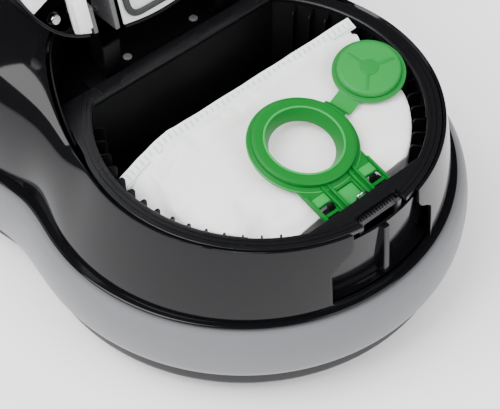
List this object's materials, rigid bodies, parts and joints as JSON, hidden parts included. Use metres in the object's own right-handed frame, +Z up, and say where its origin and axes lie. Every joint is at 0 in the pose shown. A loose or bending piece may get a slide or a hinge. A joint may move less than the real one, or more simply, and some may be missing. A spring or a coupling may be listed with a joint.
{
  "type": "cylinder vacuum cleaner",
  "caption": "Cylinder vacuum cleaner with its hinged lid open on a bag compartment, capped dust bag, swivel hose inlet, carry handle and castors.",
  "frame": {"origin": "middle of the box's underside, on the floor under the machine", "axes": "+X to the nose, where the lid's latch is; +Y to the machine's left; +Z up"},
  "size_m": [0.5, 0.32, 0.4154],
  "materials": {
    "gloss_black": "high gloss",
    "satin_black": "satin moulded",
    "dark_grey": "satin moulded",
    "belt_grey": "soft matt",
    "white": "semi gloss",
    "green": "semi gloss",
    "cap_green": "translucent semi gloss",
    "fleece": "matt fleece",
    "rubber": "matt",
    "steel": "bright",
    "aluminium": "satin",
    "foam": "open cell foam",
    "filter_white": "felt",
    "board": "circuit board"
  },
  "bodies": {
    "housing": {"base_pan": "satin_black", "bumper_belt": "belt_grey", "upper_shell": "gloss_black", "rim_deck": "satin_black", "bag_tub": "satin_black", "recess_panel": "gloss_black", "hinge_carrier": "satin_black", "hinge_pin_left": "steel", "hinge_pin_right": "steel", "catch_bar": "dark_grey", "bag_cradle": "satin_black", "dust_bag": "fleece", "bag_collar": "green", "control_board": "board", "motor_housing": "aluminium", "motor_mount_front": "rubber", "motor_mount_rear": "rubber", "filter_frame": "dark_grey", "pre_motor_filter": "foam", "exhaust_grille": "gloss_black", "exhaust_filter": "filter_white", "reel_axle": "steel", "cord_gland": "rubber", "handle_pin_left": "steel", "handle_pin_right": "steel"},
    "bag_cap": {"bag_cap": "cap_green"},
    "lid": {"lid_shell": "gloss_black", "lid_panel": "white", "lid_gasket": "rubber", "hinge_arm_left": "dark_grey", "hinge_arm_right": "dark_grey", "lid_screw_left": "steel", "lid_screw_right": "steel", "hose_neck": "satin_black"},
    "hose_swivel": {"hose_swivel": "dark_grey"},
    "latch": {"latch_lever": "satin_black"},
    "carry_handle": {"carry_handle": "satin_black"},
    "power_button": {"power_button": "dark_grey"},
    "rewind_button": {"rewind_button": "dark_grey"},
    "motor_rotor": {"motor_shaft": "steel", "impeller": "dark_grey"},
    "cord_reel": {"cord_reel": "dark_grey"},
    "castor_front_left": {"castor_fork_front_left": "satin_black", "castor_axle_front_left": "steel"},
    "castor_front_right": {"castor_fork_front_right": "satin_black", "castor_axle_front_right": "steel"},
    "castor_rear_left": {"castor_fork_rear_left": "satin_black", "castor_axle_rear_left": "steel"},
    "castor_rear_right": {"castor_fork_rear_right": "satin_black", "castor_axle_rear_right": "steel"},
    "wheel_front_left": {"castor_wheel_front_left": "rubber"},
    "wheel_front_right": {"castor_wheel_front_right": "rubber"},
    "wheel_rear_left": {"castor_wheel_rear_left": "rubber"},
    "wheel_rear_right": {"castor_wheel_rear_right": "rubber"}
  },
  "joints": [
    {"name": "lid_hinge", "type": "hinge", "parent": "housing", "child": "lid", "pos_m": [-0.022, 0, 0.1655], "axis": [0, 1, 0], "range_deg": [0, 105]},
    {"name": "hose_swivel_spin", "type": "hinge", "parent": "lid", "child": "hose_swivel", "pos_m": [-0.09044, 0, 0.32626], "axis": [-0.9659, 0, -0.2588], "continuous": true},
    {"name": "latch_press", "type": "hinge", "parent": "lid", "child": "latch", "pos_m": [-0.06645, 0, 0.40672], "axis": [0, 1, 0], "range_deg": [-10, 0], "stiffness_Nm_per_rad": 0.05, "springref_deg": 5.73},
    {"name": "bag_cap_hinge", "type": "hinge", "parent": "housing", "child": "bag_cap", "pos_m": [0.13927, 0.04043, 0.14011], "axis": [0.9539, 0.2594, -0.151], "range_deg": [0, 172]},
    {"name": "handle_swing", "type": "hinge", "parent": "housing", "child": "carry_handle", "pos_m": [-0.088, 0, 0.17745], "axis": [0, 1, 0], "range_deg": [0, 85]},
    {"name": "power_press", "type": "slide", "parent": "housing", "child": "power_button", "axis": [0.1615, -0.0822, -0.9834], "range_m": [0, 0.004], "stiffness_N_per_m": 400, "springref_m": -0.002},
    {"name": "rewind_press", "type": "slide", "parent": "housing", "child": "rewind_button", "axis": [0.1615, 0.0822, -0.9834], "range_m": [0, 0.004], "stiffness_N_per_m": 400, "springref_m": -0.002},
    {"name": "motor_spin", "type": "hinge", "parent": "housing", "child": "motor_rotor", "pos_m": [-0.052, 0, 0.078], "axis": [1, 0, 0], "continuous": true},
    {"name": "reel_spin", "type": "hinge", "parent": "housing", "child": "cord_reel", "pos_m": [-0.166, 0, 0.03], "axis": [0, 0, 1], "continuous": true},
    {"name": "swivel_front_left", "type": "hinge", "parent": "housing", "child": "castor_front_left", "pos_m": [0.16, 0.088, 0], "axis": [0, 0, 1], "continuous": true},
    {"name": "swivel_front_right", "type": "hinge", "parent": "housing", "child": "castor_front_right", "pos_m": [0.16, -0.088, 0], "axis": [0, 0, 1], "continuous": true},
    {"name": "swivel_rear_left", "type": "hinge", "parent": "housing", "child": "castor_rear_left", "pos_m": [-0.15, 0.095, 0], "axis": [0, 0, 1], "continuous": true},
    {"name": "swivel_rear_right", "type": "hinge", "parent": "housing", "child": "castor_rear_right", "pos_m": [-0.15, -0.095, 0], "axis": [0, 0, 1], "continuous": true},
    {"name": "roll_front_left", "type": "hinge", "parent": "castor_front_left", "child": "wheel_front_left", "pos_m": [0.1515, 0.088, 0.015], "axis": [0, 1, 0], "continuous": true},
    {"name": "roll_front_right", "type": "hinge", "parent": "castor_front_right", "child": "wheel_front_right", "pos_m": [0.1515, -0.088, 0.015], "axis": [0, 1, 0], "continuous": true},
    {"name": "roll_rear_left", "type": "hinge", "parent": "castor_rear_left", "child": "wheel_rear_left", "pos_m": [-0.1585, 0.095, 0.015], "axis": [0, 1, 0], "continuous": true},
    {"name": "roll_rear_right", "type": "hinge", "parent": "castor_rear_right", "child": "wheel_rear_right", "pos_m": [-0.1585, -0.095, 0.015], "axis": [0, 1, 0], "continuous": true}
  ]
}
